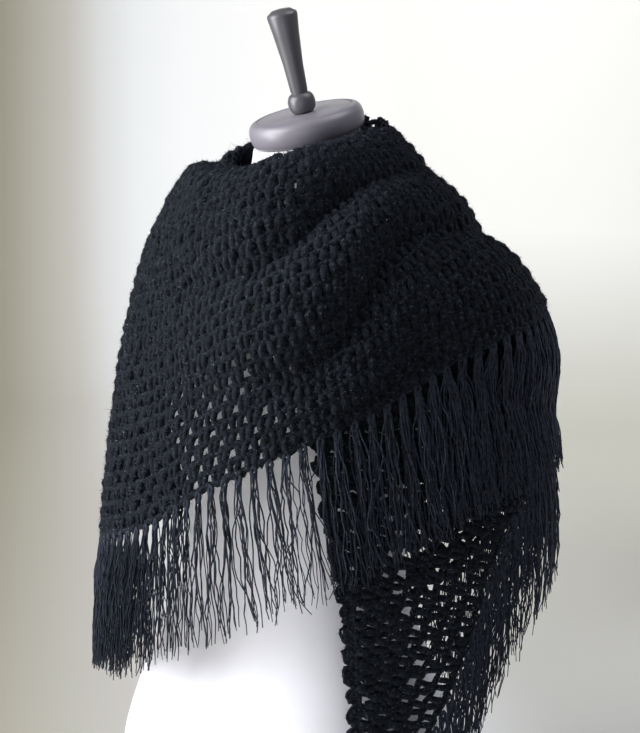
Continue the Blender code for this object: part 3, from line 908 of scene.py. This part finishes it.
def form_torso(material):
    """The limbless form, smooth between the same sections as its solid."""
    top = TORSO[-1][0]
    points = []
    for z in np.concatenate([[0.0, 0.004], np.linspace(0.012, top, 84)]):
        half_width, half_depth, centre_y = (column(TORSO, i, z) for i in (1, 2, 3))
        slant = float(ease(z, NECK_Z, top)) * math.tan(HEAD_LEAN)
        for i in range(TORSO_SIDES):
            turn = 2 * math.pi * i / TORSO_SIDES
            x = half_width * rounder(math.cos(turn))
            y = half_depth * rounder(math.sin(turn))
            drop = slant * (x * LEAN_WAY.x + y * LEAN_WAY.y)
            points.append((x, centre_y + y, z - drop))
    piece = rings_piece("form_body", points, TORSO_SIDES, 50, material)
    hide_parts("form_torso")


def turned(name, outline, sides, material):
    """A profile turned about the leaning axis of the head; its rows are radius and height."""
    axis = LEAN_WAY * math.sin(HEAD_LEAN) + Vector((0.0, 0.0, math.cos(HEAD_LEAN)))
    lean = Vector((0.0, 0.0, 1.0)).rotation_difference(axis).to_matrix()
    points = []
    for radius, height in outline:
        for i in range(sides):
            turn = 2 * math.pi * i / sides
            spot = Vector((radius * math.cos(turn), radius * math.sin(turn), height))
            points.append(CAP_FOOT + lean @ spot)
    piece = rings_piece(name, points, sides, 38, material)
    return piece


def neck_cap(material):
    """The puck over the neck: a rounded side, a fine rim line and a flat top."""
    rows = [(CAP_RADIUS * radius, CAP_HEIGHT * height) for radius, height in CAP_SIDE]
    side = list(zip(*smooth_line(rows, 31)))
    line = CAP_RADIUS * 0.84
    steps = ((0.0, 0.0004), (0.0006, 0.0011), (0.0013, 0.0004), (0.0018, 0.0002))
    groove = [(line - inwards, CAP_HEIGHT - down) for inwards, down in steps]
    middle = (0.004, CAP_HEIGHT - 0.0002)
    piece = turned("cap", [*side, *groove, middle], CAP_SIDES, material)
    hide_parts("neck_cap")


def finial(material):
    """The flattened ball and the flared handle on the cap."""
    start = CAP_HEIGHT + 0.0002
    outline = [(BALL_NECK - 0.001, start)]
    for i in range(1, 16):
        turn = math.pi * i / 16
        height = start + BALL_HEIGHT * (1 - math.cos(turn)) / 2
        outline.append((BALL_NECK + (BALL_RADIUS - BALL_NECK) * math.sin(turn), height))
    foot = start + BALL_HEIGHT
    outline += [(radius, foot + HANDLE_LENGTH * share) for share, radius in HANDLE]
    outline.append((0.001, foot + HANDLE_LENGTH * 1.012))
    piece = turned("finial_handle", outline, FINIAL_SIDES, material)
    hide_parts("finial")


def new_material(name):
    """A new material and its shader."""
    material = bpy.data.materials.new(name)
    material.use_nodes = True
    return material, material.node_tree.nodes["Principled BSDF"]


def set_inputs(node, **inputs):
    """Sets inputs by name, where _ stands for a space."""
    for key, value in inputs.items():
        node.inputs[key.replace("_", " ")].default_value = value


def add_node(material, kind, **inputs):
    node = material.node_tree.nodes.new(kind)
    set_inputs(node, **inputs)
    return node


def link(material, source, target):
    material.node_tree.links.new(source, target)


def ramp(material, source, stops):
    node = material.node_tree.nodes.new("ShaderNodeValToRGB")
    link(material, source, node.inputs["Fac"])
    elements = node.color_ramp.elements
    elements[0].position, elements[0].color = stops[0][0], (*stops[0][1], 1)
    elements[1].position, elements[1].color = stops[-1][0], (*stops[-1][1], 1)
    for position, colour in stops[1:-1]:
        elements.new(position).color = (*colour, 1)
    return node.outputs["Color"]


def bump(material, height, strength, distance):
    node = add_node(material, "ShaderNodeBump", Strength=strength, Distance=distance)
    link(material, height, node.inputs["Height"])
    return node.outputs["Normal"]


def object_coordinates(material):
    return material.node_tree.nodes.new("ShaderNodeTexCoord").outputs["Object"]


def pattern(material, kind, **inputs):
    """The strength of a noise or a wave at each point of the object."""
    node = add_node(material, kind, **inputs)
    link(material, object_coordinates(material), node.inputs["Vector"])
    return node.outputs["Fac"]


def yarn_material(name, dark, light, sheen, gloss):
    """Brushed near-black yarn: fine fibres, a cool cast that drifts, and a soft nap."""
    material, shader = new_material(name)
    drift = pattern(material, "ShaderNodeTexNoise", Scale=260.0, Detail=5.0, Roughness=0.7)
    fibre = pattern(material, "ShaderNodeTexNoise", Scale=560.0, Detail=5.0, Roughness=0.75)
    greener = (light[0] * 0.8, light[1] * 1.05, light[2])
    tint = ramp(material, drift, ((0.38, dark), (0.56, light), (0.70, greener)))
    link(material, tint, shader.inputs["Base Color"])
    set_inputs(shader, Roughness=0.82, Specular_IOR_Level=gloss, Sheen_Weight=sheen)
    set_inputs(shader, Sheen_Roughness=0.45, Sheen_Tint=(0.62, 0.68, 0.86, 1.0))
    link(material, bump(material, fibre, 1.0, 0.0016), shader.inputs["Normal"])
    return material


def cover_material():
    """White jersey over the form: a fine knit, slightly uneven."""
    material, shader = new_material("white_jersey")
    drift = pattern(material, "ShaderNodeTexNoise", Scale=9.0, Detail=3.0, Roughness=0.55)
    tint = ramp(material, drift, ((0.3, (0.80, 0.80, 0.82)), (0.7, (0.86, 0.86, 0.88))))
    link(material, tint, shader.inputs["Base Color"])
    knit = pattern(material, "ShaderNodeTexWave", Scale=260.0, Distortion=1.2, Detail=1.0)
    link(material, bump(material, knit, 0.12, 0.0003), shader.inputs["Normal"])
    set_inputs(shader, Roughness=0.78, Sheen_Weight=0.15)
    return material


def glint_material():
    """The metal filament spun in with the yarn, which flashes here and there."""
    material, shader = new_material("silver_filament")
    drift = pattern(material, "ShaderNodeTexNoise", Scale=120.0, Detail=2.0)
    tint = ramp(material, drift, ((0.35, (0.22, 0.24, 0.28)), (0.65, (0.60, 0.64, 0.70))))
    link(material, tint, shader.inputs["Base Color"])
    set_inputs(shader, Metallic=1.0, Roughness=0.36)
    return material


def paint_material(name, colour):
    """Satin paint over turned wood, slightly blotched, paler where it is rubbed."""
    material, shader = new_material(name)
    drift = pattern(material, "ShaderNodeTexNoise", Scale=30.0, Detail=5.0, Roughness=0.6)
    darker = tuple(value * 0.86 for value in colour)
    rubbed = tuple(value * 1.16 for value in colour)
    tint = ramp(material, drift, ((0.25, darker), (0.55, colour), (0.8, rubbed)))
    link(material, tint, shader.inputs["Base Color"])
    grain = pattern(material, "ShaderNodeTexNoise", Scale=240.0, Detail=3.0, Roughness=0.5)
    link(material, bump(material, grain, 0.10, 0.0004), shader.inputs["Normal"])
    set_inputs(shader, Roughness=0.42, Coat_Weight=0.35, Coat_Roughness=0.30)
    return material


def sweep_measure(material, way, least, span):
    """How far along a direction a point of the sweep lies, from 0 at the least to 1."""
    along = add_node(material, "ShaderNodeVectorMath")
    along.operation = "DOT_PRODUCT"
    link(material, object_coordinates(material), along.inputs[0])
    along.inputs[1].default_value = way
    share = add_node(material, "ShaderNodeMapRange", From_Min=least, From_Max=least + span)
    link(material, along.outputs["Value"], share.inputs["Value"])
    return share.outputs["Result"]


def sweep_material():
    """Pale paper with painted light and shade across the view and, on its right half, painted
    light up it as well.
    """
    material, shader = new_material("pale_sweep")
    aslant = VIEW_RIGHT - VIEW_BACK * SWEEP_SLANT
    across = sweep_measure(material, aslant, SWEEP_SLANT * SWEEP_REACH - 1.15, 2.2)
    upward = Vector((0.0, 0.0, 1.0)) - VIEW_BACK * SWEEP_RISE
    rise = sweep_measure(material, upward, SWEEP_RISE * SWEEP_REACH - 1.0, 1.5)
    # Painted light and shade across the view, and painted light up the wall.
    painted_side_light = ramp(material, across, SWEEP_SIDE_PAINTED_LIGHT)
    painted_height_light = ramp(material, rise, SWEEP_HEIGHT_PAINTED_LIGHT)
    painted_light_mask = add_node(material, "ShaderNodeMapRange", From_Min=0.27, From_Max=0.45)
    painted_light_mask.interpolation_type = "SMOOTHSTEP"
    link(material, across, painted_light_mask.inputs["Value"])
    # Painted light and shade: the tones across the view, times the tones up the wall on the
    # right half.
    shade = add_node(material, "ShaderNodeMix")
    shade.data_type = "RGBA"
    shade.blend_type = "MULTIPLY"
    link(material, painted_light_mask.outputs["Result"], shade.inputs["Factor"])
    link(material, painted_side_light, shade.inputs[6])
    link(material, painted_height_light, shade.inputs[7])
    link(material, shade.outputs[2], shader.inputs["Base Color"])
    set_inputs(shader, Roughness=0.9)
    return material


def from_view(right, back, height):
    """A place by how far it is to the right of the view, towards it and up."""
    return VIEW_RIGHT * right + VIEW_BACK * back + Vector((0, 0, height))


def floor_and_backdrop():
    """A pale floor that curves up into a wall far behind the form."""
    bend_from = SWEEP_REACH - SWEEP_BEND
    outline = [(SWEEP_NEAR, 0.0), (bend_from, 0.0)]
    for i in range(1, 17):
        turn = math.pi / 2 * i / 16
        away = bend_from + SWEEP_BEND * math.sin(turn)
        outline.append((away, SWEEP_BEND * (1 - math.cos(turn))))
    outline.append((SWEEP_REACH, SWEEP_TOP))
    points = [
        from_view(side, -away, z - SWEEP_DROP)
        for away, z in outline
        for side in (-SWEEP_HALF_WIDTH, SWEEP_HALF_WIDTH)
    ]
    faces = [(2 * i, 2 * i + 1, 2 * i + 3, 2 * i + 2) for i in range(len(outline) - 1)]
    mesh = bpy.data.meshes.new("sweep")
    mesh.from_pydata(points, [], faces)
    mesh.shade_smooth()
    mesh.materials.append(sweep_material())
    new_object("sweep", mesh)


def camera():
    data = bpy.data.cameras.new("view")
    data.sensor_width = SENSOR_WIDTH
    data.lens = VIEW_FOCUS_PIXELS * SENSOR_WIDTH / PICTURE_HEIGHT
    data.clip_start = 0.05
    view = new_object("view", data)
    forward = -VIEW_BACK * math.cos(VIEW_PITCH) - Vector((0, 0, 1)) * math.sin(VIEW_PITCH)
    up = VIEW_RIGHT.cross(forward)
    side = VIEW_RIGHT * math.cos(VIEW_ROLL) + up * math.sin(VIEW_ROLL)
    top = up * math.cos(VIEW_ROLL) - VIEW_RIGHT * math.sin(VIEW_ROLL)
    place = from_view(VIEW_SIDESTEP, VIEW_DISTANCE, VIEW_HEIGHT)
    turn = Matrix((side, top, -forward)).transposed()
    view.matrix_world = Matrix.Translation(place) @ turn.to_4x4()
    bpy.context.scene.camera = view
    bpy.context.scene.view_settings.view_transform = "Standard"


def area_light(name, place, target, size, power, colour):
    data = bpy.data.lights.new(name, "AREA")
    data.size = size
    data.energy = power
    data.color = colour
    lamp = new_object(name, data)
    lamp.location = place
    lamp.rotation_euler = (target - place).to_track_quat("-Z", "Y").to_euler()


def lights():
    """A broad window from the left of the view, a wash on the wall and a dim room around."""
    world = bpy.data.worlds.new("room")
    world.use_nodes = True
    set_inputs(world.node_tree.nodes["Background"], Color=ROOM_COLOUR, Strength=ROOM_STRENGTH)
    bpy.context.scene.world = world
    for name, place, target, size, power, colour in LAMPS:
        area_light(name, from_view(*place), Vector(target), size, power, colour)
    wash = from_view(*WASH_PLACE)
    area_light("wall_wash", wash, from_view(*WASH_TARGET), 0.8, 68.0, (1.0, 0.99, 0.96))


def front_sway(share):
    """The side bundle hangs to the form's back, the middle of the row to its left."""
    return column(FRONT_SWAY, 1, share)


def back_sway(share):
    return FRONT_SWAY[0][1] * share * share


def no_sway(share):
    return 0.0


def front_strands(share):
    """A thick bundle at the side, thin tassels in front and thick ones at the shoulder."""
    return round(column(FRONT_STRANDS, 1, share))


def back_strands(share):
    return round(column(BACK_STRANDS, 1, share))


def end_strands(share):
    return END_STRANDS


def build_border(name, stretch, first, side, rng, yarn):
    """The scalloped long edge of a hanging end."""
    tubes = Tubes()
    shell_row(tubes, stretch, first, side, rng)
    edge_chain(tubes, stretch, 0.001, 0.0028)
    return tubes.build(name, yarn)


def build_collar(wrap, yarn):
    """The two chains round the neck."""
    tubes = Tubes()
    for inset, radius in ((0.0114, 0.0040), (0.0175, 0.0036)):
        edge_chain(tubes, wrap, inset, radius)
    return tubes.build("neck_edge", yarn)


def build():
    rng = np.random.default_rng(11)
    wrap = wrap_stretch()
    front = end_stretch(FRONT_END)
    back = end_stretch(BACK_END)
    yarn, strands, hair, pale_hair = (yarn_material(*row) for row in YARNS)

    middle = (WRAP_MIDDLE - WRAP_START) / WRAP_TURN
    wrap_net, wrap_chains = crochet(
        "wrap_crochet", wrap, middle, wrap_openness, NECK_TRIM, rng, yarn
    )
    front_net, front_chains = crochet(
        "front_end_crochet", front, END_MIDDLE, end_openness, 0, rng, yarn
    )
    back_net, back_chains = crochet(
        "back_end_crochet", back, END_MIDDLE, end_openness, 0, rng, yarn
    )
    borders = [
        build_border("front_end_shells", front, 0.20, 1.0, rng, yarn),
        build_border("back_end_shells", back, 0.22, -1.0, rng, yarn),
    ]
    collar = build_collar(wrap, yarn)
    fringes = [
        tassels(*row, rng, strands)
        for row in (
            ("front_hem_tassels", wrap, HEM_SPLIT, 1.0, front_sway, front_strands, 0.014),
            ("back_hem_tassels", wrap, 0.0, HEM_SPLIT, back_sway, back_strands, 0.014),
            ("front_end_tassels", front, 0.01, 1.0, no_sway, end_strands, 0.008),
            ("back_end_tassels", back, 0.03, 1.0, no_sway, end_strands, 0.011),
        )
    ]
    shades = [yarn, hair, pale_hair]
    ends = [front_net, front_chains, back_net, back_chains, *borders]
    fluff = [
        halo("wrap_fluff", [wrap], 12500, rng, hair),
        halo("end_fluff", [front, back], 8000, rng, hair),
        fuzz("wrap_fuzz", [wrap_net, wrap_chains, collar], 190000, rng, shades),
        fuzz("end_fuzz", ends, 95000, rng, shades),
        glints("glints", [wrap, front, back], 4500, rng, glint_material()),
    ]

    for piece, node in zip([wrap_net, front_net, back_net, *borders, *fringes], SHAWL_NODES):
        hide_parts(node)
    on_wrap = [wrap_chains, collar, fluff[0], fluff[2], fluff[4], *fringes[:2]]
    declare(wrap)
    declare(front)
    declare(back)

    form_torso(cover_material())
    neck_cap(paint_material("cap_paint", CAP_PAINT))
    finial(paint_material("handle_paint", HANDLE_PAINT))
    floor_and_backdrop()
    lights()
    camera()


def declare(stretch):
    """Works out the flat cut of a stretch: its greatest width, its longest row and its area, and
    keeps none of them.
    """
    deepest = stretch.width.max()
    insets = np.linspace(0.0, deepest, 20)[:12]
    longest = max(stretch.lengths(inset)[-1] for inset in insets)
    area = stretch.area()


build()
